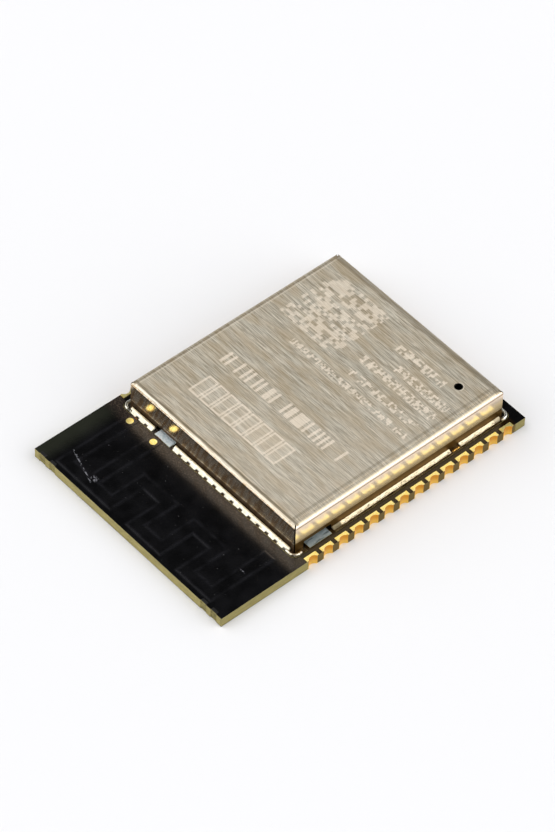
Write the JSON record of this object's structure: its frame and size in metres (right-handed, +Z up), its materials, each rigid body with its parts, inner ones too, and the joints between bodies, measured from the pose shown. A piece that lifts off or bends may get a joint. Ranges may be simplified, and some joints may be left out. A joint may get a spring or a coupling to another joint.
{
  "type": "wifi module",
  "caption": "Small surface-mount radio board with half-hole edge contacts, a meander antenna at one end and a folded, soldered metal shield can.",
  "frame": {"origin": "centre of the board at its underside, on the plane of the lower contact faces", "axes": "+Y along the board from the antenna end to the rear contacts, +Z up through the shield can, +X towards the first long row of contacts"},
  "size_m": [0.018, 0.0254, 0.0031],
  "materials": {
    "laminate": "bare glass-fibre laminate, sawn edge",
    "mask": "black solder mask",
    "gold": "thin gold plating",
    "copper": "copper foil under the mask",
    "tinned": "flat tinned copper",
    "solder": "bright solder",
    "can": "brushed nickel silver sheet",
    "mould": "moulded package",
    "terminal": "tinned terminals",
    "crystal_ceramic": "fired ceramic",
    "crystal_metal": "seam-welded lid",
    "capacitor": "fired ceramic",
    "inductor": "fired ceramic",
    "resistor": "glazed film on ceramic"
  },
  "bodies": {
    "root": {"board_core": "laminate", "mask_top": "mask", "mask_bottom": "mask", "antenna_strip": "copper", "test_pads": "gold", "contacts_left": "gold", "contacts_right": "gold", "contacts_rear": "gold", "ground_pad": "gold", "ground_ring": "gold", "notch_lands": "tinned", "component_lands": "gold", "mcu_body": "mould", "mcu_terminals": "terminal", "flash_body": "mould", "flash_leads": "terminal", "crystal_base": "crystal_ceramic", "crystal_lid": "crystal_metal", "capacitor_bodies": "capacitor", "capacitor_ends": "terminal", "inductor_bodies": "inductor", "inductor_ends": "terminal", "resistor_bodies": "resistor", "resistor_ends": "terminal", "shield_can": "can", "solder_front": "solder", "solder_rear": "solder", "solder_left": "solder", "solder_right": "solder"}
  },
  "joints": []
}
